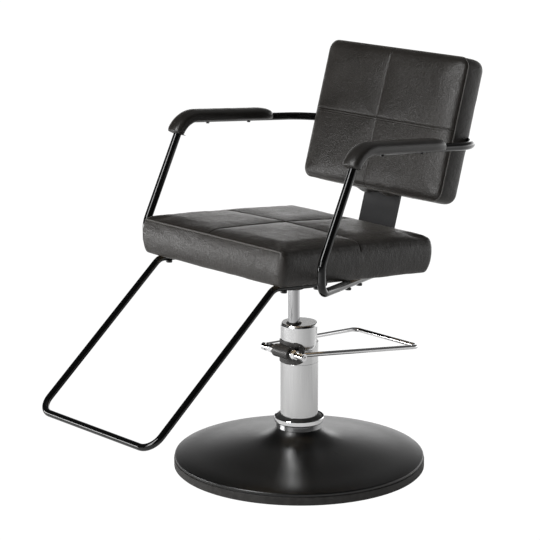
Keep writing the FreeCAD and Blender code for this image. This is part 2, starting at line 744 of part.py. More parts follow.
def arm_tube():
    tube = pipe(arm_points(), [30.0, 60.0, ARM_TOP_BEND_R, ARM_REAR_BEND_R], ARM_R, ARM_INNER_R)
    for x, s in arm_bolt_places():
        if x > 0:
            tube = tube.cut(in_seat(cyl(4.1, -60, BOARD_T, x, s)))
    tube = tube.cut(group(pad_screw_shanks(2.6)))
    return tube.cut(group(rail_bolt_cutters(4.1)))


def rail_joiner():
    """Spigot inside the rear rail where the two arm tubes meet."""
    joiner = x_cyl(ARM_INNER_R - 0.05, -60, 60, ARM_REAR_Y, rail_z(ARM_REAR_Y))
    return joiner.cut(group(rail_bolt_cutters(4.1)))


def rail_bolts():
    """Bolts through the rear rail into the back's board."""
    height, depth = rail_bolt_height()
    bolts = []
    for x in (-40.0, 40.0):
        stem = back_cylinder(4.0, x, height, 39, depth + ARM_R + 0.5)
        head = back_cylinder(7.5, x, height, depth + ARM_R + 0.5, depth + ARM_R + 5)
        bolts.append(stem.fuse(head).removeSplitter())
    return group(bolts)


def rail_spacers():
    """Saddle spacers between the rear rail and the back."""
    height, depth = rail_bolt_height()
    rail = x_cyl(ARM_R + 0.05, -80, 80, ARM_REAR_Y, rail_z(ARM_REAR_Y))
    spacers = []
    for x in (-40.0, 40.0):
        spacer = back_cylinder(10.0, x, height, BACK_REAR, depth)
        spacers.append(spacer.cut(back_cylinder(4.1, x, height, BACK_REAR - 1, depth + 1)).cut(rail))
    return group(spacers)


def arm_plugs():
    end = arm_leg_point(arm_leg_end_y())
    direction = (arm_leg_point(ARM_POST_Y) - end).normalize()
    plug = Part.makeCylinder(ARM_R, 2.0, end - direction * 2.0, direction)
    plug = plug.fuse(Part.makeCylinder(ARM_INNER_R - 0.05, 14.0, end, direction))
    return both_sides(plug.removeSplitter())


def pad_path():
    """The stretch of the arm's centre line that the pad covers, from its tip to its rear end."""
    corner = arm_top_corner()
    lean = math.tan(math.radians(ARM_POST_LEAN))
    tip_y = ARM_POST_Y + (PAD_TIP_Z - ARM_KINK_Z) * lean
    tip = vec(rail_x(tip_y), tip_y, PAD_TIP_Z)
    rear = vec(rail_x(PAD_REAR_Y), PAD_REAR_Y, rail_z(PAD_REAR_Y))
    return tip, corner, rear


def arm_pad():
    """Moulded foam pad on a hard insert, open underneath for the tube."""
    tip, corner, rear = pad_path()
    along = (corner - tip).normalize()
    side = along.cross(rear - corner).normalize()
    outward = along.cross(side).normalize()
    half = PAD_W / 2
    low = -4.5
    corners = [(-half, low), (half, low), (half, low + PAD_H - 9), (half - 9, low + PAD_H),
               (9 - half, low + PAD_H), (-half, low + PAD_H - 9)]
    outline = [tip + side * a + outward * b for a, b in corners]
    path = rounded_path([tip, corner, rear], [ARM_TOP_BEND_R])
    pad = path.makePipe(Part.Face(Part.makePolygon(outline + outline[:1])))
    lower = corner - (corner - tip) * 3
    beyond = rear + (rear - corner).multiply(0.5)
    pad = pad.cut(rod([lower, corner, beyond], [ARM_TOP_BEND_R], ARM_R + 0.1))
    return pad.cut(group(pad_screw_shanks(2.6)))


def pad_screw_shanks(r):
    """Screws come up through the rail into the pad's insert."""
    shanks = []
    for y in (-28.0, 101.0):
        centre = vec(rail_x(y), y, rail_z(y))
        shanks.append(Part.makeCylinder(r, 22, centre - Z_AXIS * 10.4, Z_AXIS))
    return shanks


def pad_screws():
    screws = []
    for y in (-28.0, 101.0):
        centre = vec(rail_x(y), y, rail_z(y))
        head = Part.makeCylinder(4.4, 1.8, centre - Z_AXIS * 12.1, Z_AXIS)
        stem = Part.makeCylinder(2.5, 21.0, centre - Z_AXIS * 10.3, Z_AXIS)
        screw = head.fuse(stem).removeSplitter()
        screws += [screw, mirrored(screw)]
    return group(screws)


# Footrest

def foot_point(y):
    s = (y - RAM_Y) / math.cos(math.radians(SEAT_TILT))
    return seat_point(FOOT_X, s, -FOOT_R - 0.2)


def footrest_tube():
    bar_y, bar_z = FOOT_BAR
    right = [foot_point(FOOT_END_Y), foot_point(FOOT_BEND_Y), vec(FOOT_X, bar_y, bar_z)]
    left = [vec(-p.x, p.y, p.z) for p in reversed(right)]
    tube = pipe(right + left, [34.0, 38.0, 38.0, 34.0], FOOT_R, FOOT_INNER_R)
    return drilled(tube, footrest_bolt_places(), 4.1)


def footrest_plugs():
    end = foot_point(FOOT_END_Y)
    direction = (foot_point(FOOT_BEND_Y) - end).normalize()
    plug = Part.makeCylinder(FOOT_R, 2.0, end - direction * 2.0, direction)
    plug = plug.fuse(Part.makeCylinder(FOOT_INNER_R - 0.05, 12.0, end, direction))
    return both_sides(plug.removeSplitter())


def arm_bolt_seat(x, s):
    y = RAM_Y + s * math.cos(math.radians(SEAT_TILT))
    return arm_leg_n(y) - ARM_R


def nodes():
    """Every node of the chair by name."""
    return {
        # base
        "floor_mat": cyl(RIM_INNER_R - 0.5, 0, 3),
        "base_plate": base_plate(),
        "rim_band": rim_band(),
        "base_cover": base_cover(),
        "column_flange": column_flange(),
        "flange_bolts": flange_bolts(),
        "base_collar": base_collar(),
        "collar_gasket": collar_gasket(),
        "column_tube": column_tube(),
        "pump_housing": pump_housing(),
        "column_cap": column_cap(),
        "guide_bush": guide_bush(),
        "wiper_seal": wiper_seal(),
        "pump_cylinder": pump_cylinder(),
        "valve_block": valve_block(),
        "plunger_barrel": plunger_barrel(),
        "plunger_spring": plunger_spring(),
        "pivot_saddle": pivot_saddle(),
        "pivot_bushes": pivot_bushes(),
        # pedal and plunger
        "pivot_shaft": pivot_shaft(),
        "pedal_loop": pedal_loop(),
        "pump_yoke": pump_yoke(),
        "pivot_washers": pivot_washers(),
        "pivot_nuts": pivot_nuts(),
        "plunger": plunger(),
        # piston
        "piston_head": piston_head(),
        "piston_seal": piston_seal(),
        "thrust_washer": thrust_washer(),
        # everything that turns with the seat
        "ram": ram(),
        "ram_nut": ram_nut(),
        "seat_socket": seat_socket(),
        "socket_bolts": seat_bolts(socket_bolt_places(), lambda x, s: -PLATE_T - 9),
        "mounting_plate": mounting_plate(),
        "mounting_bolts": seat_bolts(mounting_bolt_places(), lambda x, s: -PLATE_T),
        "seat_board": seat_board(),
        "seat_foam": seat_foam(),
        "seat_cover": seat_cover(),
        "back_upright": back_upright(),
        "upright_bolts": seat_bolts(upright_bolt_places(), lambda x, s: -UPRIGHT_T),
        "back_board": back_board(),
        "back_bolts": back_bolts(),
        "back_foam": back_foam(),
        "back_cover": back_cover(),
        "arm_tube_left": arm_tube(),
        "arm_tube_right": mirrored(arm_tube()),
        "arm_bolts": seat_bolts(arm_bolt_places(), arm_bolt_seat),
        "arm_plugs": arm_plugs(),
        "rail_joiner": rail_joiner(),
        "rail_bolts": rail_bolts(),
        "rail_spacers": rail_spacers(),
        "arm_pad_left": arm_pad(),
        "arm_pad_right": mirrored(arm_pad()),
        "pad_screws": pad_screws(),
        "footrest_tube": footrest_tube(),
        "footrest_bolts": seat_bolts(footrest_bolt_places(), lambda x, s: -2 * FOOT_R - 0.2),
        "footrest_plugs": footrest_plugs(),
    }


os.makedirs("parts", exist_ok=True)
for name, shape in nodes().items():
    shape.exportStep("parts/" + name + ".step")
    print(name, len(shape.Solids), round(shape.Volume), shape.isValid())
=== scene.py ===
"""Looks of the styling chair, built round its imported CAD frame. Metres, +Z up, the chair faces -Y."""
import json
import math

import bmesh
import bpy
from mathutils import Matrix, Vector, noise


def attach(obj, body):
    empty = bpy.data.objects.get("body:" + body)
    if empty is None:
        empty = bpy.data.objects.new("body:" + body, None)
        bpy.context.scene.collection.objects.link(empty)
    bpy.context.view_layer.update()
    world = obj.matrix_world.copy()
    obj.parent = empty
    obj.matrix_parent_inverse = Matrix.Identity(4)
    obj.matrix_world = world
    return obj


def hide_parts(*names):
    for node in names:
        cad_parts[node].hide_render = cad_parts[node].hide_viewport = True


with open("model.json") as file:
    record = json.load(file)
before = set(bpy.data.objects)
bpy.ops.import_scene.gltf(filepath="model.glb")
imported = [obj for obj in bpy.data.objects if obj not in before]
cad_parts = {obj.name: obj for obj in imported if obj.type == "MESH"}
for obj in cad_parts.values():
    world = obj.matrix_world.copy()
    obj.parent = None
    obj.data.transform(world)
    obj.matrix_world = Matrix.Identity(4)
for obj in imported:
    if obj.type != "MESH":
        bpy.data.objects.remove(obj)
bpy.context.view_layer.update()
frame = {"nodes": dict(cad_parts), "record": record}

MM = 0.001

# The seat's and the back's own axes, as the CAD part has them: x across, then depth, then height
SEAT_TILT = 5.0
SEAT_ORIGIN = Vector((0.0, -0.018, 0.5015))
BACK_TILT = 16.3
BACK_ORIGIN = Vector((0.0, 0.2295, 0.644))
SEAT_AXES = Matrix.Translation(SEAT_ORIGIN) @ Matrix.Rotation(math.radians(-SEAT_TILT), 4, "X")
BACK_AXES = Matrix.Translation(BACK_ORIGIN) @ Matrix.Rotation(math.radians(-BACK_TILT), 4, "X")

# Upholstery: half sizes, corner radii, and the places of middles, welts and the seam that runs along y
SEAT_HALF = (0.241, 0.2365)
SEAT_CORNER_R = 0.013
SEAT_MIDDLE = -0.0275
SEAT_WELT = 0.079
BACK_HALF = (0.230, 0.170)
BACK_CORNER_R = 0.025
BACK_MIDDLE = 0.170
SEAM_X = -0.009

# The walls' profiles from the welt down, as (inset, height) in millimetres
SEAT_WALLS = [(-0.6, 77.4), (-1.8, 74), (-3.2, 68), (-4.3, 60), (-5.0, 52), (-5.1, 44), (-4.6, 36),
              (-3.5, 28), (-1.9, 20), (0.2, 13), (2.6, 7), (5.4, 2.6), (8.8, 0.0), (12.2, -0.9),
              (13.4, 0.4)]
BACK_WALLS = [(-0.3, -1.4), (-0.9, -4), (-1.8, -10), (-2.5, -18), (-3.0, -26), (-3.2, -34), (-3.0, -41),
              (-2.2, -47), (-0.4, -52), (3.2, -55.2), (7.0, -56.2)]

# Grid spacing at the seams and edges, and between them
FINE_STEP = 1.3 * MM
COARSE_STEP = 11 * MM

# Creases in the front of the seat, as (start, end, depth, width) in the seat's axes
SEAT_CREASES = [
    (Vector((0.214, -0.238, 0.074)), Vector((0.150, -0.238, 0.030)), 1.0 * MM, 4.5 * MM),
    (Vector((0.222, -0.238, 0.070)), Vector((0.190, -0.238, 0.022)), 1.1 * MM, 4 * MM),
    (Vector((0.198, -0.238, 0.077)), Vector((0.110, -0.238, 0.050)), 0.8 * MM, 4 * MM),
    (Vector((-0.200, -0.238, 0.072)), Vector((-0.060, -0.238, 0.028)), 1.0 * MM, 9 * MM),
    (Vector((-0.120, -0.238, 0.074)), Vector((0.040, -0.238, 0.030)), 0.9 * MM, 8 * MM),
    (Vector((0.228, -0.228, 0.076)), Vector((0.205, -0.205, 0.084)), 0.9 * MM, 3.5 * MM),
]

# Length of the cloth simulation that swells the cushions, and how firmly it holds their seams
CLOTH_FRAMES = 20
SEAM_HOLD = 0.75

# The seat's top edge is rolled over this far from the edge, except near the front, in so many passes
ROLL_REACH = 13 * MM
ROLL_FRONT_GAP = 8 * MM
ROLL_PASSES = 14

# Where the back's cover is tucked round the flat bar: where it starts, how far behind the welt it lies,
# and its two lobes as (centre, half width, drop)
TUCK_TOP = -0.145
TUCK_DEPTH = 0.030
TUCK_LOBES = ((-0.038, 0.019, 7.5 * MM), (0.034, 0.017, 6.5 * MM))

# Sewing thread, its gaps from the seat's seams and the cushions' edges, and the rays that find the surface
STITCH_PITCH = 3.6 * MM
STITCH_LENGTH = 2.5 * MM
THREAD_R = 0.36 * MM
THREAD_SIDES = 6
SEAT_STITCH_GAP = 4.2 * MM
STITCH_EDGE_GAP = 12 * MM
RAY_STEP = 0.6 * MM
RAY_HEIGHT = 0.25

# The arm rails' centre lines, as the CAD part has them, and the pads on them
ARM_REAR_Y = 0.337
ARM_REAR_BEND_R = 0.110
ARM_TOP_BEND_R = 0.055
ARM_LEAN = math.tan(math.radians(25.5))
ARM_POST_Y = -0.217
ARM_KINK_Z = 0.576
RAIL_PLACE = (0.290, 0.184, 0.787)
RAIL_SPLAY = 0.027
RAIL_ROOM = 10.2 * MM
PAD_TIP_Z = 0.780
PAD_REAR_Y = 0.170
PAD_NOSE = 11 * MM
PAD_TAIL = 46 * MM

# Outline of the pad's right half across the tube, then its thin end and its bore's radii, in millimetres
PAD_HALF = [(10.2, -4.6), (14.5, -4.9), (18.5, -4.1), (21.2, -1.8), (22.6, 2.0), (23.0, 6.5), (22.7, 11.0),
            (21.6, 14.8), (19.2, 18.0), (15.5, 20.4), (11.0, 21.9), (5.6, 22.8), (0.0, 23.2)]
PAD_SLEEVE_R = 10.4
PAD_BORE_R = 9.7

# Camera, with its angles in degrees
CAMERA_PLACE = (3.498, -3.283, 1.641)
CAMERA_DOWN = 13.63
CAMERA_TURN = 47.65
CAMERA_LENS = 139.9

# Floor and surroundings. A glow is (from, to, strength at from, strength at to): in metres behind the
# chair for the floor, and for the others in how closely a direction agrees with the backdrop's or with up
FLOOR_HALF = 9.0
FLOOR_TOP = -0.5 * MM
FLOOR_BACKWARDS = (-0.25, 0.97, 0.0)
FLOOR_GLOW = (0.2, 2.4, 0.23, 1.2)
BACKDROP = Vector((-0.2, 0.95, 0.2)).normalized()
BACKDROP_GLOW = (0.25, 0.95, 0.02, 1.3)
HORIZON_GLOW = (0.0, 0.30, 2.9, 0.13)

# Soft lights, as (name, place, target, width, height, watts)
SOFTBOXES = [
    ("key", (-0.4, -3.4, 2.9), (0, 0, 0.6), 1.4, 1.8, 98),
    ("low", (-2.0, -2.0, 0.36), (0, 0, 0.45), 1.4, 0.35, 24),
    ("top", (0.1, 0.9, 3.4), (0, 0, 0.4), 3.0, 3.0, 4),
    ("front", (0.25, -3.3, 1.35), (0, 0, 0.8), 1.4, 0.9, 30),
]


# Node materials

WARM_SHEEN = (1.0, 0.94, 0.86, 1.0)
LEATHER_DARK = (0.0125, 0.0108, 0.0094)
LEATHER_LIGHT = (0.0275, 0.0245, 0.0215)
EDGE_GREY = (0.06, 0.06, 0.06)


def map_range(tree, value, low, high, to_low, to_high):
    """Adds a Map Range node to the tree and returns its result."""
    node = tree.nodes.new("ShaderNodeMapRange")
    for socket, number in (("From Min", low), ("From Max", high), ("To Min", to_low), ("To Max", to_high)):
        node.inputs[socket].default_value = number
    tree.links.new(value, node.inputs["Value"])
    return node.outputs["Result"]


class Look:
    """A node material under construction: a Principled shader and short calls that add nodes to it."""

    def __init__(self, name, colour, roughness, metallic=0.0, **sockets):
        self.material = bpy.data.materials.new(name)
        self.material.use_nodes = True
        self.tree = self.material.node_tree
        self.shader = self.tree.nodes["Principled BSDF"]
        self.set(Base_Color=(*colour, 1.0), Roughness=roughness, Metallic=metallic, **sockets)
        self.height = None
        coordinates = self.tree.nodes.new("ShaderNodeTexCoord")
        self.object_space = coordinates.outputs["Object"]

    def set(self, **sockets):
        for socket, value in sockets.items():
            self.shader.inputs[socket.replace("_", " ")].default_value = value

    def link(self, output, socket):
        self.tree.links.new(output, socket)

    def stretched(self, x=1.0, y=1.0, z=1.0, turn=(0.0, 0.0, 0.0)):
        """The object's coordinates, scaled along each axis and turned, for streaks and brushing."""
        mapping = self.tree.nodes.new("ShaderNodeMapping")
        mapping.inputs["Scale"].default_value = (x, y, z)
        mapping.inputs["Rotation"].default_value = [math.radians(a) for a in turn]
        self.link(self.object_space, mapping.inputs["Vector"])
        return mapping.outputs["Vector"]

    def noise(self, scale, detail=3.0, vector=None, distortion=0.0):
        node = self.tree.nodes.new("ShaderNodeTexNoise")
        node.inputs["Scale"].default_value = scale
        node.inputs["Detail"].default_value = detail
        node.inputs["Distortion"].default_value = distortion
        self.link(vector or self.object_space, node.inputs["Vector"])
        return node.outputs["Fac"]

    def cells(self, scale, feature="DISTANCE_TO_EDGE", vector=None, randomness=1.0):
        """Distances in a pattern of random cells: to their edges, or with feature F1 to their middles."""
        node = self.tree.nodes.new("ShaderNodeTexVoronoi")
        node.feature = feature
        node.inputs["Scale"].default_value = scale
        node.inputs["Randomness"].default_value = randomness
        self.link(vector or self.object_space, node.inputs["Vector"])
        return node.outputs["Distance"]

    def remap(self, value, low, high, to_low, to_high):
        return map_range(self.tree, value, low, high, to_low, to_high)

    def ramp(self, value, stops):
        node = self.tree.nodes.new("ShaderNodeValToRGB")
        while len(node.color_ramp.elements) < len(stops):
            node.color_ramp.elements.new(0.5)
        for element, (place, colour) in zip(node.color_ramp.elements, stops):
            element.position = place
            element.color = (*colour, 1.0)
        self.link(value, node.inputs["Fac"])
        return node.outputs["Color"]

    def maths(self, operation, a, b):
        node = self.tree.nodes.new("ShaderNodeMath")
        node.operation = operation
        for socket, value in zip(node.inputs, (a, b)):
            if isinstance(value, (int, float)):
                socket.default_value = value
            else:
                self.link(value, socket)
        return node.outputs["Value"]

    def worn_edges(self, base, worn, amount):
        """The base colour turning to the worn one along sharp convex edges."""
        geometry = self.tree.nodes.new("ShaderNodeNewGeometry")
        edge = self.remap(geometry.outputs["Pointiness"], 0.58, 0.70, 0.0, amount)
        node = self.tree.nodes.new("ShaderNodeMix")
        node.data_type = "RGBA"
        first, second = [s for s in node.inputs if s.type == "RGBA"]
        self.link(base, first)
        second.default_value = (*worn, 1.0)
        self.link(edge, node.inputs["Factor"])
        return next(s for s in node.outputs if s.type == "RGBA")

    def colour(self, output):
        self.link(output, self.shader.inputs["Base Color"])

    def roughness(self, output):
        self.link(output, self.shader.inputs["Roughness"])

    def bump(self, value, strength, distance):
        """Adds a layer of relief; distance is its height in metres."""
        node = self.tree.nodes.new("ShaderNodeBump")
        node.inputs["Strength"].default_value = strength
        node.inputs["Distance"].default_value = distance
        self.link(value, node.inputs["Height"])
        if self.height is not None:
            self.link(self.height, node.inputs["Normal"])
        self.height = node.outputs["Normal"]
        self.link(self.height, self.shader.inputs["Normal"])


def leather(name, dark, light, grain_depth):
    """Soft upholstery leather: pebble grain, slanting fine wrinkles, and gloss that varies in patches."""
    look = Look(name, dark, 0.42, Specular_IOR_Level=0.42, Sheen_Weight=0.08, Sheen_Roughness=0.45,
                Sheen_Tint=WARM_SHEEN)
    patches = look.noise(9.0, 4.0)
    mottle = look.noise(140.0, 3.0)
    tone = look.maths("ADD", look.maths("MULTIPLY", patches, 0.6), look.maths("MULTIPLY", mottle, 0.4))
    look.colour(look.ramp(tone, [(0.2, dark), (0.8, light)]))
    broad_gloss = look.remap(patches, 0.3, 0.7, 0.34, 0.42)
    fine_gloss = look.remap(mottle, 0.3, 0.7, -0.04, 0.05)
    look.roughness(look.maths("ADD", broad_gloss, fine_gloss))
    creases = look.cells(34.0, vector=look.stretched(1.0, 1.0, 1.7, (20, 30, 35)))
    look.bump(look.remap(creases, 0.0, 0.05, 0.0, 1.0), 0.12, 0.0005)
    look.bump(look.noise(40.0, 2.0), 0.1, 0.0008)
    wrinkles = look.noise(150.0, 4.0, look.stretched(1.0, 0.8, 0.6, (35, 45, 20)), 0.3)
    look.bump(wrinkles, 0.6, 0.0013)
    look.bump(look.noise(300.0, 2.0), 0.7, 0.0009)
    look.bump(look.remap(look.cells(620.0, randomness=0.9), 0.0, 0.22, 0.0, 1.0), 0.5, grain_depth)
    return look.material


def moulded_skin():
    """Integral-skin foam of the arm pads: a finer, tighter grain than the leather."""
    look = Look("pad_skin", (0.018, 0.0165, 0.015), 0.4, Sheen_Weight=0.06, Sheen_Roughness=0.4,
                Sheen_Tint=WARM_SHEEN)
    patches = look.noise(16.0, 3.0)
    look.colour(look.ramp(patches, [(0.3, (0.015, 0.0135, 0.012)), (0.7, (0.023, 0.021, 0.019))]))
    look.roughness(look.remap(patches, 0.3, 0.7, 0.33, 0.42))
    look.bump(look.noise(90.0, 3.0), 0.15, 0.0005)
    look.bump(look.remap(look.cells(900.0), 0.0, 0.25, 0.0, 1.0), 0.35, 0.00008)
    return look.material


def coat_of_paint(name, colour, roughness, spread, peel, coat=0.0, specular=0.5):
    """Powder coat or paint: slight orange peel, patches of roughness, and edges rubbed a bit lighter."""
    look = Look(name, colour, roughness, Coat_Weight=coat, Coat_Roughness=0.05,
                Specular_IOR_Level=specular)
    patches = look.noise(22.0, 4.0)
    lighter = tuple(min(1.0, c * 1.25 + 0.001) for c in colour)
    look.colour(look.worn_edges(look.ramp(patches, [(0.3, colour), (0.75, lighter)]), EDGE_GREY, 0.25))
    look.roughness(look.remap(look.noise(45.0, 5.0), 0.3, 0.7, roughness - spread, roughness + spread))
    look.bump(look.noise(420.0, 2.0), peel, 0.00012)
    look.bump(look.noise(2600.0, 1.0), peel * 0.4, 0.00003)
    return look.material


def rubbery(name, colour, roughness):
    look = Look(name, colour, roughness, Specular_IOR_Level=0.35)
    dust = look.noise(60.0, 5.0)
    lighter = tuple(c * 1.8 + 0.008 for c in colour)
    look.colour(look.ramp(dust, [(0.35, colour), (0.8, lighter)]))
    look.roughness(look.remap(dust, 0.3, 0.7, roughness - 0.08, roughness + 0.06))
    look.bump(look.noise(900.0, 2.0), 0.25, 0.0001)
    return look.material


def moulded_plastic(name, colour, roughness):
    look = Look(name, colour, roughness)
    patches = look.noise(35.0, 4.0)
    lighter = tuple(min(1.0, c * 1.35 + 0.004) for c in colour)
    look.colour(look.worn_edges(look.ramp(patches, [(0.3, colour), (0.8, lighter)]), lighter, 0.6))
    look.roughness(look.remap(patches, 0.3, 0.7, roughness - 0.05, roughness + 0.08))
    look.bump(look.noise(1500.0, 2.0), 0.2, 0.00006)
    return look.material


def polished(name, colour, roughness, scratch):
    """Chrome plate: nearly a mirror, with faint smears and hairline scratches in its roughness."""
    look = Look(name, colour, roughness, metallic=1.0)
    smears = look.noise(30.0, 5.0, distortion=0.6)
    look.roughness(look.remap(smears, 0.3, 0.75, roughness, roughness + scratch))
    look.colour(look.ramp(smears, [(0.2, tuple(c * 0.94 for c in colour)), (0.8, colour)]))
    hairlines = look.noise(180.0, 2.0, look.stretched(6.0, 6.0, 0.4, (0, 0, 30)))
    look.bump(hairlines, 0.03, 0.00005)
    return look.material


def ground_steel(name, colour, low, high, along):
    """Turned or ground metal: fine lines along one axis, seen in colour, roughness and relief."""
    look = Look(name, colour, low, metallic=1.0, Anisotropic=0.3)
    scale = [60.0, 60.0, 60.0]
    scale[along] = 0.8
    lines = look.noise(18.0, 6.0, look.stretched(*scale))
    look.roughness(look.remap(lines, 0.3, 0.7, low, high))
    look.colour(look.ramp(lines, [(0.25, tuple(c * 0.8 for c in colour)), (0.75, colour)]))
    look.bump(lines, 0.12, 0.00003)
    return look.material


def rough_casting():
    look = Look("casting", (0.07, 0.07, 0.07), 0.7, metallic=0.5)
    grit = look.noise(350.0, 5.0)
    look.colour(look.ramp(grit, [(0.3, (0.05, 0.05, 0.05)), (0.75, (0.11, 0.11, 0.11))]))
    look.roughness(look.remap(grit, 0.3, 0.7, 0.6, 0.82))
    look.bump(grit, 0.5, 0.0005)
    return look.material


def birch_plywood():
    look = Look("birch_plywood", (0.62, 0.47, 0.30), 0.6)
    grain = look.noise(14.0, 8.0, look.stretched(22.0, 1.2, 22.0), 0.4)
    look.colour(look.ramp(grain, [(0.3, (0.50, 0.36, 0.21)), (0.7, (0.68, 0.53, 0.35))]))
    look.roughness(look.remap(grain, 0.3, 0.7, 0.52, 0.68))
    look.bump(grain, 0.2, 0.0003)
    return look.material


def upholstery_foam():
    look = Look("upholstery_foam", (0.80, 0.76, 0.62), 0.9)
    pores = look.cells(700.0, "F1")
    look.colour(look.ramp(pores, [(0.1, (0.55, 0.50, 0.36)), (0.5, (0.82, 0.78, 0.64))]))
    look.roughness(look.remap(pores, 0.0, 0.6, 0.95, 0.8))
    look.bump(pores, 0.6, 0.0006)
    return look.material


def sewing_thread():
    look = Look("sewing_thread", (0.08, 0.076, 0.07), 0.6, Sheen_Weight=0.3)
    twist = look.noise(2200.0, 1.0)
    look.colour(look.ramp(twist, [(0.3, (0.06, 0.057, 0.053)), (0.7, (0.12, 0.114, 0.106))]))
    look.roughness(look.remap(twist, 0.3, 0.7, 0.5, 0.75))
    look.bump(twist, 0.3, 0.0001)
    return look.material


LOOKS = {
    "leather": leather("seat_leather", LEATHER_DARK, LEATHER_LIGHT, 0.00014),
    "pad_leather": moulded_skin(),
    "gloss_black": coat_of_paint("gloss_powder_coat", (0.003, 0.003, 0.003), 0.10, 0.02, 0.02,
                                 coat=0.15, specular=0.36),
    "flat_black": coat_of_paint("flat_powder_coat", (0.018, 0.018, 0.019), 0.55, 0.06, 0.25),
    "satin_black": coat_of_paint("satin_paint", (0.002, 0.002, 0.002), 0.33, 0.012, 0.02,
                                 specular=0.66),
    "rim_rubber": rubbery("rim_rubber", (0.020, 0.019, 0.018), 0.55),
    "rubber_black": rubbery("black_rubber", (0.013, 0.013, 0.013), 0.6),
    "saddle_black": moulded_plastic("saddle_plastic", (0.030, 0.029, 0.028), 0.38),
    "nylon_white": moulded_plastic("white_nylon", (0.70, 0.69, 0.64), 0.45),
    "plug_black": moulded_plastic("plug_plastic", (0.016, 0.016, 0.016), 0.45),
    "chrome": polished("bright_chrome", (0.88, 0.88, 0.885), 0.03, 0.04),
    "satin_chrome": ground_steel("satin_chrome", (0.78, 0.78, 0.78), 0.14, 0.24, 2),
    "plain_steel": ground_steel("machined_steel", (0.52, 0.52, 0.53), 0.28, 0.42, 0),
    "black_bolts": coat_of_paint("black_zinc", (0.012, 0.012, 0.012), 0.32, 0.06, 0.1),
    "cast_plate": rough_casting(),
    "bronze": ground_steel("oiled_bronze", (0.17, 0.13, 0.085), 0.38, 0.5, 2),
    "foam": upholstery_foam(),
    "plywood": birch_plywood(),
    "thread": sewing_thread(),
    "hard_chrome": polished("hard_chrome", (0.50, 0.50, 0.505), 0.10, 0.05),
    # The piping is a lighter copy of the seat leather: a painted highlight along the welts.
    "piping": leather("piping_painted_highlight", (0.050, 0.047, 0.043), (0.095, 0.090, 0.084), 0.0001),
}


def dress_cad_nodes():
    """Gives every CAD node the node material of its slot in the record; the ram's plating is duller."""
    for part in frame["record"]["subparts"]:
        mesh = frame["nodes"][part["node"]].data
        mesh.materials.clear()
        mesh.materials.append(LOOKS["hard_chrome" if part["node"] == "ram" else part["material_slot"]])


# Meshes

def new_piece(name, vertices, faces, slot, look=None):
    """A smooth mesh with the look of the given slot, unless another look is named."""
    mesh = bpy.data.meshes.new(name)
    mesh.from_pydata(vertices, [], faces)
    mesh.validate()
    mesh.update()
    piece = bpy.data.objects.new(name, mesh)
    bpy.context.scene.collection.objects.link(piece)
    mesh.materials.append(LOOKS[look or slot])
    mesh.polygons.foreach_set("use_smooth", [True] * len(mesh.polygons))
    return piece


def apply_modifier(piece, name):
    bpy.context.view_layer.objects.active = piece
    bpy.ops.object.modifier_apply(modifier=name)


def refine(piece):
    """Divides every face once and rounds the result."""
    modifier = piece.modifiers.new("refine", "SUBSURF")
    modifier.levels = 1
    apply_modifier(piece, "refine")


def tube_faces(first, rings, sides, closed=False):
    """Faces of a tube whose rings of vertices start at index first; an open tube gets two end caps."""
    faces = []
    for ring in range(rings if closed else rings - 1):
        here = first + ring * sides
        after = first + (ring + 1) % rings * sides
        for k in range(sides):
            beside = (k + 1) % sides
            faces.append((here + k, here + beside, after + beside, after + k))
    if not closed:
        last = first + (rings - 1) * sides
        faces.append(tuple(first + k for k in reversed(range(sides))))
        faces.append(tuple(last + k for k in range(sides)))
    return faces


def turn_faces_out(piece):
    """Turns every face of a closed mesh outwards."""
    mesh = bmesh.new()
    mesh.from_mesh(piece.data)
    bmesh.ops.recalc_face_normals(mesh, faces=mesh.faces)
    mesh.to_mesh(piece.data)
    mesh.free()


def graded_lines(anchors, fine, coarse):
    """Positions from the first anchor to the last, close together at every anchor and coarser between."""
    lines = []
    for low, high in zip(anchors, anchors[1:]):
        steps = [0.0]
        step = fine
        while steps[-1] + step < (high - low) / 2:
            steps.append(steps[-1] + step)
            step = min(coarse, step * 1.35)
        middle = (high - low) / 2
        if middle - steps[-1] < step * 0.5:
            steps.pop()
        lines += [low + s for s in steps] + [low + middle] + [high - s for s in reversed(steps[1:])]
    return lines + [anchors[-1]]


def rounded_corner(x, y, half_x, half_y, radius):
    """Moves a point of a rectangle's grid so that the rectangle's corners become round."""
    over_x = (abs(x) - half_x + radius) / radius
    over_y = (abs(y) - half_y + radius) / radius
    if over_x <= 0 or over_y <= 0:
        return x, y
    out_x = over_x * math.sqrt(1 - over_y * over_y / 2)
    out_y = over_y * math.sqrt(1 - over_x * over_x / 2)
    return (math.copysign(half_x - radius + radius * out_x, x),
            math.copysign(half_y - radius + radius * out_y, y))


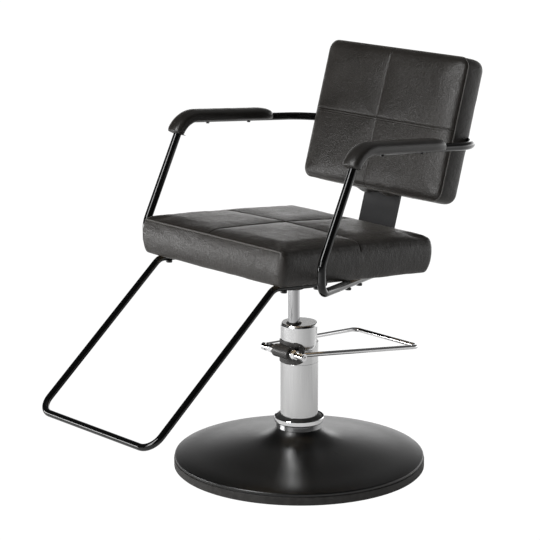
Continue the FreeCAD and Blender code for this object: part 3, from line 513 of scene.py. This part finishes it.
class Cushion:
    """A closed upholstered block on a grid. Its face looks along +n; welt, walls and underside follow.

    The grid's lines crowd at the crossed seams and the edges, so that both come out crisp."""

    def __init__(self, half, radius, walls):
        self.half_x, self.half_y = half
        self.radius = radius
        self.xs = graded_lines([-self.half_x, SEAM_X, self.half_x], FINE_STEP, COARSE_STEP)
        self.ys = graded_lines([-self.half_y, 0.0, self.half_y], FINE_STEP, COARSE_STEP)
        self.walls = [(inset * MM, n * MM) for inset, n in walls]
        self.vertices, self.faces = [], []

    def face_height(self, x, y, edge_rise, edge_reach, crown, side_drop):
        """Height above the welt: a quick round rise at the edge, then a broad crown."""
        rise = []
        for position, half, reach in zip((x, y), (self.half_x, self.half_y), edge_reach):
            share = min(1.0, (half - abs(position)) / reach)
            rise.append(math.sqrt(max(0.0, 1 - (1 - share) ** 2)))
        broad = (1 - (x / self.half_x) ** 2) * (1 - (y / self.half_y) ** 2)
        return edge_rise * rise[0] * rise[1] + crown * broad ** 0.8 - side_drop * (1 - rise[0])

    def build(self, welt_n, under_n, under_drop, edge_rise, edge_reach, crown, side_drop=0.0):
        """Vertices in the cushion's own axes, as (x, y, n), and the faces that join them."""
        columns, rows = len(self.xs), len(self.ys)
        for y in self.ys:
            for x in self.xs:
                px, py = rounded_corner(x, y, self.half_x, self.half_y, self.radius)
                height = self.face_height(x, y, edge_rise, edge_reach, crown, side_drop)
                self.vertices.append(Vector((px, py, welt_n + height)))
        for j in range(rows - 1):
            for i in range(columns - 1):
                a = j * columns + i
                self.faces.append((a, a + 1, a + columns + 1, a + columns))
        self.rim = self.border(columns, rows)
        ring = self.rim
        for inset, n in self.walls:
            ring = self.add_ring(ring, inset, n)
        self.close(columns, rows, ring, under_n, under_drop)

    def border(self, columns, rows):
        """The grid's outer vertices in order, from the corner at low x and low y."""
        low = list(range(columns))
        right = [j * columns + columns - 1 for j in range(1, rows)]
        high = [(rows - 1) * columns + i for i in range(columns - 2, -1, -1)]
        left = [j * columns for j in range(rows - 2, 0, -1)]
        return low + right + high + left

    def outline_normal(self, x, y):
        """Direction out of the rounded outline at one of its points."""
        core_x = max(-(self.half_x - self.radius), min(self.half_x - self.radius, x))
        core_y = max(-(self.half_y - self.radius), min(self.half_y - self.radius, y))
        return Vector((x - core_x, y - core_y, 0)).normalized()

    def add_ring(self, ring, inset, n):
        """A copy of the rim, moved in by inset, joined to the ring before it.

        It lies at height n, or lower where the rim itself dips."""
        start = len(self.vertices)
        count = len(ring)
        below_first = self.walls[0][1] - n
        for index in self.rim:
            place = self.vertices[index]
            inward = self.outline_normal(place.x, place.y)
            level = min(n, place.z - 0.6 * MM - 0.03 * below_first)
            self.vertices.append(Vector((place.x - inward.x * inset, place.y - inward.y * inset, level)))
        for k in range(count):
            after = (k + 1) % count
            self.faces.append((ring[k], start + k, start + after, ring[after]))
        return [start + k for k in range(count)]

    def close(self, columns, rows, ring, under_n, under_drop):
        """The underside: the face's grid again, inside the last ring, with under_drop of sag."""
        shrink = self.walls[-1][0]
        sag_reach = 0.03
        scale_x = (self.half_x - shrink) / self.half_x
        scale_y = (self.half_y - shrink) / self.half_y
        place = dict(zip(self.rim, ring))
        for j in range(rows):
            for i in range(columns):
                index = j * columns + i
                if index not in place:
                    top = self.vertices[index]
                    from_edge = min(self.half_x - abs(self.xs[i]), self.half_y - abs(self.ys[j]))
                    edge = min(1.0, from_edge / sag_reach)
                    place[index] = len(self.vertices)
                    level = under_n + under_drop * edge
                    self.vertices.append(Vector((top.x * scale_x, top.y * scale_y, level)))
        for j in range(rows - 1):
            for i in range(columns - 1):
                a = j * columns + i
                corners = (a, a + columns, a + columns + 1, a + 1)
                self.faces.append(tuple(place[c] for c in corners))

    def pins(self, held_rings, hold):
        """Cloth weights that hold the rim, the last rings of the wall, the underside and the seams."""
        weights = {index: 1.0 for index in self.rim}
        first_wall = len(self.xs) * len(self.ys)
        first_held = first_wall + (len(self.walls) - held_rings) * len(self.rim)
        for index in range(first_held, len(self.vertices)):
            weights[index] = hold
        for index in range(first_wall):
            line, column = divmod(index, len(self.xs))
            if abs(self.xs[column] - SEAM_X) < 0.2 * MM or abs(self.ys[line]) < 0.2 * MM:
                weights.setdefault(index, SEAM_HOLD)
        return weights

    def welt_line(self, piece, count, out):
        """The first points of the piece's rim, moved out so that half of the piping stands proud."""
        points = [piece.data.vertices[index].co for index in self.rim[:count]]
        return [p + self.outline_normal(p.x, p.y) * out + Vector((0, 0, 0.3 * MM)) for p in points]


def inflate(piece, pins, pressure, cap):
    """Cloth pressure swells the piece where it isn't pinned; no point moves further than cap."""
    rest = [v.co.copy() for v in piece.data.vertices]
    group = piece.vertex_groups.new(name="pins")
    for index, weight in pins.items():
        group.add([index], weight, "REPLACE")
    cloth = piece.modifiers.new("cloth", "CLOTH")
    settings = cloth.settings
    settings.use_pressure = True
    settings.uniform_pressure_force = pressure
    settings.vertex_group_mass = "pins"
    settings.quality = 6
    settings.mass = 0.4
    settings.tension_stiffness = 25
    settings.compression_stiffness = 25
    settings.shear_stiffness = 12
    settings.bending_stiffness = 4
    settings.effector_weights.gravity = 0
    cloth.point_cache.frame_start = 1
    cloth.point_cache.frame_end = CLOTH_FRAMES
    scene = bpy.context.scene
    for step in range(1, CLOTH_FRAMES + 1):
        scene.frame_set(step)
    apply_modifier(piece, "cloth")
    scene.frame_set(1)
    piece.vertex_groups.clear()
    for vertex, start in zip(piece.data.vertices, rest):
        moved = vertex.co - start
        if moved.length > cap:
            moved *= cap / moved.length
        vertex.co = start + moved


def piping(name, points, radius, closed=True):
    """Leather piping through the points: a closed loop, or a run whose ends sink and taper."""
    count = len(points)
    sides = 8
    vertices = []
    for k, point in enumerate(points):
        before = points[k - 1] if closed or k else point
        after = points[(k + 1) % count] if closed or k < count - 1 else point
        along = (after - before).normalized()
        side = along.cross(Vector((0, 0, 1)))
        if side.length < 0.2:
            side = along.cross(Vector((0, 1, 0)))
        side.normalize()
        up = side.cross(along)
        swell = 1.0 if closed else max(0.15, min(1.0, k / 6, (count - 1 - k) / 6))
        for s in range(sides):
            angle = 2 * math.pi * s / sides
            vertices.append(point + (side * math.cos(angle) + up * math.sin(angle)) * radius * swell)
    # The piping's lighter look is a painted highlight.
    piece = new_piece(name, vertices, tube_faces(0, count, sides, closed), "leather", "piping")
    turn_faces_out(piece)
    return piece


# Upholstery

def ripples(place, depth):
    """Soft unevenness of stretched leather at a point, broad and fine, from fixed noise."""
    broad = noise.noise(place / 0.085) * depth
    fine = noise.noise((place * 1.7 + Vector((3, 1, 2))) / 0.035) * (depth * 0.35)
    return broad + fine


def groove(distance, depth, width):
    """How far the surface moves at a distance from the middle of a soft groove."""
    return -depth * math.exp(-(distance / width) ** 2)


def creases_at(place, strokes):
    """Depth at a point of a set of creases, each (start, end, depth, width) in the piece's own axes."""
    total = 0.0
    for start, end, depth, width in strokes:
        along = end - start
        share = (place - start).dot(along) / along.length_squared
        if -0.1 < share < 1.1:
            fade = math.sin(math.pi * min(1.0, max(0.0, share)))
            distance = (place - start - along * share).length
            total -= depth * fade * math.exp(-(distance / width) ** 2)
    return total


def sew(piece, seams, ripple, strokes=()):
    """Presses seams, as (distance function, depth, width), creases and ripples into the final mesh."""
    piece.data.update()
    vertices = piece.data.vertices
    normals = [v.normal.copy() for v in vertices]
    for vertex, normal in zip(vertices, normals):
        place = vertex.co
        shift = ripples(place, ripple) + creases_at(place, strokes)
        if normal.z > 0.3:
            for distance_of, depth, width in seams:
                shift += groove(distance_of(place), depth, width)
        vertex.co = place + normal * shift


def surface_points(piece, starts):
    """Where rays straight down from the start points meet the piece, with the surface's normal there."""
    found = []
    for start in starts:
        hit, place, normal, _ = piece.ray_cast(start, Vector((0, 0, -1)))
        if hit:
            found.append((place.copy(), normal.copy()))
    return found


def stitch_ring(centre, side, normal, radius):
    """One ring of a stitch's vertices."""
    angles = [2 * math.pi * k / THREAD_SIDES for k in range(THREAD_SIDES)]
    return [centre + (side * math.cos(a) + normal * math.sin(a)) * radius for a in angles]


def thread(name, piece, runs):
    """Rows of short stitches that lie on the surface. Each run is a list of start points for rays."""
    shape = ((-0.5, 0.3), (-0.3, 1.0), (0.3, 1.0), (0.5, 0.3))
    vertices, faces = [], []
    for starts in runs:
        line = surface_points(piece, starts)
        travelled = 0.0
        for (here, normal), (after, _) in zip(line, line[1:]):
            travelled += (after - here).length
            if travelled < STITCH_PITCH:
                continue
            travelled = 0.0
            along = (after - here).normalized()
            side = along.cross(normal).normalized()
            faces += tube_faces(len(vertices), len(shape), THREAD_SIDES)
            for share, swell in shape:
                centre = here + along * STITCH_LENGTH * share + normal * THREAD_R * (1.1 * swell - 0.3)
                vertices += stitch_ring(centre, side, normal, THREAD_R * swell)
    stitches = new_piece(name, vertices, faces, "leather", "thread")
    stitches.matrix_world = piece.matrix_world
    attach(stitches, "seat")


def row(fixed, low, high, axis):
    """Ray starts along a straight line: axis 0 runs along x at y = fixed, axis 1 along y at x = fixed."""
    count = int((high - low) / RAY_STEP)
    places = [low + (high - low) * k / count for k in range(count + 1)]
    if axis == 0:
        return [Vector((p, fixed, RAY_HEIGHT)) for p in places]
    return [Vector((fixed, p, RAY_HEIGHT)) for p in places]


def stitch_rows(half, beside_x, beside_y):
    """Rows beside the two seams of a cushion, clear of its edges, at the given distances from each."""
    reach_x, reach_y = [size - STITCH_EDGE_GAP for size in half]
    rows = [row(SEAM_X + side, -reach_y, reach_y, 1) for side in beside_x]
    return rows + [row(side, -reach_x, reach_x, 0) for side in beside_y]


def seat_cushion():
    """The seat's upholstery, with piping along the top front edge and stitches beside its seams."""
    block = Cushion(SEAT_HALF, SEAT_CORNER_R, SEAT_WALLS)
    block.build(welt_n=SEAT_WELT, under_n=2.5 * MM, under_drop=0.0, edge_rise=9.5 * MM,
                edge_reach=(20 * MM, 20 * MM), crown=5.5 * MM, side_drop=6.0 * MM)
    cushion = new_piece("seat_upholstery", block.vertices, block.faces, "leather")
    inflate(cushion, block.pins(5, 1.0), 5.0, 5 * MM)
    front = block.welt_line(cushion, len(block.xs), 1.6 * MM)
    refine(cushion)
    soften_rim(cushion)
    seams = [(lambda p: p.x - SEAM_X, 2.2 * MM, 1.8 * MM), (lambda p: p.y, 2.2 * MM, 1.8 * MM),
             (lambda p: abs(p.x - SEAM_X) - SEAT_STITCH_GAP, 0.3 * MM, 1.2 * MM),
             (lambda p: abs(p.y) - SEAT_STITCH_GAP, 0.3 * MM, 1.2 * MM)]
    sew(cushion, seams, 1.3 * MM, SEAT_CREASES)
    cushion.matrix_world = SEAT_AXES @ Matrix.Translation((0, SEAT_MIDDLE, 0))
    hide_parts("seat_cover", "seat_foam")
    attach(cushion, "seat")
    welt = piping("seat_welt", front, 1.9 * MM, closed=False)
    welt.matrix_world = cushion.matrix_world
    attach(welt, "seat")
    beside = (-SEAT_STITCH_GAP, SEAT_STITCH_GAP)
    thread("seat_stitches", cushion, stitch_rows(SEAT_HALF, beside, beside))


def soften_rim(cushion):
    """Rolls the seat's top edge over softly at the sides and the rear; the front keeps its welted edge."""
    mesh = bmesh.new()
    mesh.from_mesh(cushion.data)
    half_x, half_y = SEAT_HALF
    near = [v for v in mesh.verts
            if abs(v.co.z - SEAT_WELT) < ROLL_REACH and v.co.y > ROLL_FRONT_GAP - half_y
            and (abs(v.co.x) > half_x - ROLL_REACH or v.co.y > half_y - ROLL_REACH)]
    every_way = {"use_axis_x": True, "use_axis_y": True, "use_axis_z": True}
    for _ in range(ROLL_PASSES):
        bmesh.ops.smooth_vert(mesh, verts=near, factor=0.5, **every_way)
    mesh.to_mesh(cushion.data)
    mesh.free()


def back_cushion():
    """The back's upholstery, upright, with piping all round its face and a folded seam across it."""
    block = Cushion(BACK_HALF, BACK_CORNER_R, BACK_WALLS)
    block.build(welt_n=0.0, under_n=-56.6 * MM, under_drop=-1.4 * MM, edge_rise=14.0 * MM,
                edge_reach=(34 * MM, 20 * MM), crown=5.0 * MM)
    cushion = new_piece("back_upholstery", block.vertices, block.faces, "leather")
    inflate(cushion, block.pins(1, 0.9), 3.0, 3 * MM)
    rim = block.welt_line(cushion, len(block.rim), 0.9 * MM)
    refine(cushion)
    seams = [(lambda p: p.x - SEAM_X, 1.0 * MM, 1.2 * MM), (lambda p: p.y, 1.5 * MM, 1.4 * MM),
             (lambda p: p.y + 0.0055, 0.7 * MM, 1.1 * MM)]
    sew(cushion, seams, 0.9 * MM)
    gathers(cushion)
    upright = Matrix.Rotation(math.radians(90), 4, "X")
    cushion.matrix_world = BACK_AXES @ Matrix.Translation((0, 0, BACK_MIDDLE)) @ upright
    clear_rail(cushion)
    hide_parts("back_cover", "back_foam")
    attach(cushion, "seat")
    welt = piping("back_welt", rim, 1.5 * MM)
    welt.matrix_world = cushion.matrix_world
    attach(welt, "seat")
    rows = stitch_rows(BACK_HALF, (-3.6 * MM, 3.6 * MM), (-9.0 * MM, 4.0 * MM))
    thread("back_stitches", cushion, rows)


def gathers(cushion):
    """Two soft lobes of leather on the bottom edge, where the cover is tucked round the flat bar."""
    for vertex in cushion.data.vertices:
        place = vertex.co
        if place.y > TUCK_TOP:
            continue
        low = min(1.0, (TUCK_TOP - place.y) / 0.020)
        for centre, width, drop in TUCK_LOBES:
            across = math.exp(-((place.x - centre) / width) ** 4)
            along = math.exp(-((place.z + TUCK_DEPTH) / 0.016) ** 2)
            place.y -= drop * across * along * low
        fold = math.exp(-(place.x / 0.006) ** 2) * math.exp(-((place.z + TUCK_DEPTH) / 0.02) ** 2)
        place.y += 1.5 * MM * fold * low


def clear_rail(cushion):
    """Presses the cushion in where the rear rail lies against its corners."""
    corner = rail_point(ARM_REAR_Y)
    route = [rail_point(0.150), corner, Vector((0.080, ARM_REAR_Y, corner.z))]
    centres = [place for place, _ in bent_path(route, [ARM_REAR_BEND_R], 4 * MM)]
    inverse = cushion.matrix_world.inverted()
    lines = [[inverse @ Vector((side * p.x, p.y, p.z)) for p in centres] for side in (1, -1)]
    for vertex in cushion.data.vertices:
        for line in lines:
            if abs(vertex.co.x - line[len(line) // 2].x) > 0.15:
                continue
            nearest = min(line, key=lambda c: (c - vertex.co).length_squared)
            away = vertex.co - nearest
            if away.length < RAIL_ROOM:
                outward = Vector((away.x, away.y, max(away.z, 0.2 * MM))).normalized()
                vertex.co = nearest + outward * RAIL_ROOM


# Arm pads

def rail_point(y):
    """A point of the left rail's centre line, which splays out and rises towards the front."""
    x, rear_y, z = RAIL_PLACE
    ahead = rear_y - y
    return Vector((x + ahead * RAIL_SPLAY, y, z + ahead * math.tan(math.radians(SEAT_TILT))))


def bent_path(corners, radii, step):
    """Places and directions along straight runs joined by arcs."""
    path = []

    def straight(start, end):
        count = max(1, int((end - start).length / step))
        direction = (end - start).normalized()
        path.extend((start + (end - start) * k / count, direction) for k in range(count))

    here = corners[0]
    for before, corner, after, radius in zip(corners, corners[1:], corners[2:], radii):
        into = (corner - before).normalized()
        out = (after - corner).normalized()
        angle = into.angle(out)
        reach = radius * math.tan(angle / 2)
        start = corner - into * reach
        straight(here, start)
        normal = (out - into * into.dot(out)).normalized()
        count = max(2, int(radius * angle / step))
        for k in range(count):
            turn = angle * k / count
            place = start + into * radius * math.sin(turn) + normal * radius * (1 - math.cos(turn))
            path.append((place, into * math.cos(turn) + normal * math.sin(turn)))
        here = corner + out * reach
    straight(here, corners[-1])
    path.append((corners[-1], (corners[-1] - here).normalized()))
    return path


def pad_section(round_share):
    """Outline of the pad across the tube: a domed top on straight sides, open below for the tube.

    Towards the pad's ends it closes in on the tube: round_share 1 leaves only a thin sleeve."""
    outer = [Vector(p) for p in PAD_HALF + [(-x, y) for x, y in reversed(PAD_HALF[:-1])]]
    sleeve = [p.normalized() * PAD_SLEEVE_R for p in outer]
    section = [p.lerp(q, round_share) for p, q in zip(outer, sleeve)]
    bore_angles = [math.radians(208 - 23.6 * k) for k in range(11)]
    bore = [Vector((PAD_BORE_R * math.cos(a), PAD_BORE_R * math.sin(a))) for a in bore_angles]
    return [p * MM for p in section + bore]


def pad_path():
    """The left pad's centre line, from its tip round the bend and along the rail, and the way across."""
    fall = 1 + ARM_LEAN * math.tan(math.radians(SEAT_TILT))
    rise = (rail_point(ARM_POST_Y).z - ARM_KINK_Z) / fall
    corner = rail_point(ARM_POST_Y + rise * ARM_LEAN)
    tip = Vector((corner.x, ARM_POST_Y + (PAD_TIP_Z - ARM_KINK_Z) * ARM_LEAN, PAD_TIP_Z))
    tip.x = rail_point(tip.y).x
    path = bent_path([tip, corner, rail_point(PAD_REAR_Y)], [ARM_TOP_BEND_R], 2.5 * MM)
    return path, (corner - tip).cross(path[-1][1]).normalized()


def arm_pad(name, side, node):
    """One armrest: its section follows the path, with a blunt nose and a tail that thins to a sleeve."""
    path, across = pad_path()
    lengths = [0.0]
    for (a, _), (b, _) in zip(path, path[1:]):
        lengths.append(lengths[-1] + (b - a).length)
    vertices = []
    for (place, direction), travelled in zip(path, lengths):
        from_tip = min(1.0, travelled / PAD_NOSE)
        from_rear = min(1.0, (lengths[-1] - travelled) / PAD_TAIL)
        nose = 0.40 * (1 - math.sqrt(1 - (1 - from_tip) ** 2))
        tail = 1 - math.sqrt(1 - (1 - from_rear) ** 2.2)
        outward = direction.cross(across).normalized()
        for point in pad_section(max(nose, tail)):
            spot = place + across * point.x + outward * point.y
            if point.y > 0:
                spot += outward * noise.noise(spot * 38) * 0.35 * MM
            vertices.append(Vector((side * spot.x, spot.y, spot.z)))
    faces = tube_faces(0, len(path), len(vertices) // len(path))
    pad = new_piece(name, vertices, faces, "pad_leather")
    turn_faces_out(pad)
    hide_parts(node)
    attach(pad, "seat")


# Studio

def facing(tree, vector, direction):
    """How far a vector reaches along a direction."""
    node = tree.nodes.new("ShaderNodeVectorMath")
    node.operation = "DOT_PRODUCT"
    node.inputs[1].default_value = direction
    tree.links.new(vector, node.inputs[0])
    return node.outputs["Value"]


def shown_white(tree, lighting, white):
    """The lighting's shader for every ray but the camera's, which meets the white one."""
    mix = tree.nodes.new("ShaderNodeMixShader")
    tree.links.new(tree.nodes.new("ShaderNodeLightPath").outputs["Is Camera Ray"], mix.inputs["Fac"])
    tree.links.new(lighting, mix.inputs[1])
    tree.links.new(white, mix.inputs[2])
    return mix.outputs["Shader"]


def stage_floor():
    """A pale floor that glows more the further it lies behind the chair; the camera sees it as white."""
    mesh = bpy.data.meshes.new("floor")
    corners = [(x * FLOOR_HALF, y * FLOOR_HALF, 0) for x, y in ((-1, -1), (1, -1), (1, 1), (-1, 1))]
    mesh.from_pydata(corners, [], [(0, 1, 2, 3)])
    floor = bpy.data.objects.new("floor", mesh)
    bpy.context.scene.collection.objects.link(floor)
    material = bpy.data.materials.new("pale_floor")
    material.use_nodes = True
    tree = material.node_tree
    paper = tree.nodes["Principled BSDF"]
    paper.inputs["Base Color"].default_value = (0.80, 0.80, 0.80, 1.0)
    paper.inputs["Roughness"].default_value = 0.8
    paper.inputs["Specular IOR Level"].default_value = 0.1
    paper.inputs["Emission Color"].default_value = (1.0, 1.0, 1.0, 1.0)
    behind = facing(tree, tree.nodes.new("ShaderNodeTexCoord").outputs["Object"], FLOOR_BACKWARDS)
    tree.links.new(map_range(tree, behind, *FLOOR_GLOW), paper.inputs["Emission Strength"])
    white = tree.nodes.new("ShaderNodeEmission")
    white.inputs["Strength"].default_value = 1.05
    surface = shown_white(tree, paper.outputs["BSDF"], white.outputs["Emission"])
    tree.links.new(surface, tree.nodes["Material Output"].inputs["Surface"])
    mesh.materials.append(material)
    floor.location.z = FLOOR_TOP


def studio():
    """A glow behind the chair that fades upwards and forwards; the camera sees white surroundings."""
    world = bpy.data.worlds.new("studio")
    bpy.context.scene.world = world
    world.use_nodes = True
    tree = world.node_tree
    tree.nodes.clear()
    direction = tree.nodes.new("ShaderNodeTexCoord").outputs["Generated"]
    glow = map_range(tree, facing(tree, direction, BACKDROP), *BACKDROP_GLOW)
    height = facing(tree, direction, (0.0, 0.0, 1.0))
    product = tree.nodes.new("ShaderNodeMath")
    product.operation = "MULTIPLY"
    tree.links.new(glow, product.inputs[0])
    tree.links.new(map_range(tree, height, *HORIZON_GLOW), product.inputs[1])
    lit = tree.nodes.new("ShaderNodeBackground")
    tree.links.new(product.outputs["Value"], lit.inputs["Strength"])
    white = tree.nodes.new("ShaderNodeBackground")
    white.inputs["Strength"].default_value = 1.1
    output = tree.nodes.new("ShaderNodeOutputWorld")
    surface = shown_white(tree, lit.outputs["Background"], white.outputs["Background"])
    tree.links.new(surface, output.inputs["Surface"])


def softbox(name, place, target, width, height, watts):
    data = bpy.data.lights.new(name, "AREA")
    data.shape = "RECTANGLE"
    data.size = width
    data.size_y = height
    data.energy = watts
    light = bpy.data.objects.new(name, data)
    light.location = place
    light.rotation_euler = (Vector(target) - Vector(place)).to_track_quat("-Z", "Y").to_euler()
    bpy.context.scene.collection.objects.link(light)


def camera():
    data = bpy.data.cameras.new("camera")
    data.lens = CAMERA_LENS
    data.sensor_width = 36.0
    view = bpy.data.objects.new("camera", data)
    view.location = CAMERA_PLACE
    view.rotation_euler = (math.radians(90 - CAMERA_DOWN), 0, math.radians(CAMERA_TURN))
    bpy.context.scene.collection.objects.link(view)
    bpy.context.scene.camera = view


dress_cad_nodes()
seat_cushion()
back_cushion()
arm_pad("armrest_left", 1, "arm_pad_left")
arm_pad("armrest_right", -1, "arm_pad_right")
stage_floor()
studio()
for box in SOFTBOXES:
    softbox(*box)
camera()
bpy.context.scene.view_settings.view_transform = "Standard"
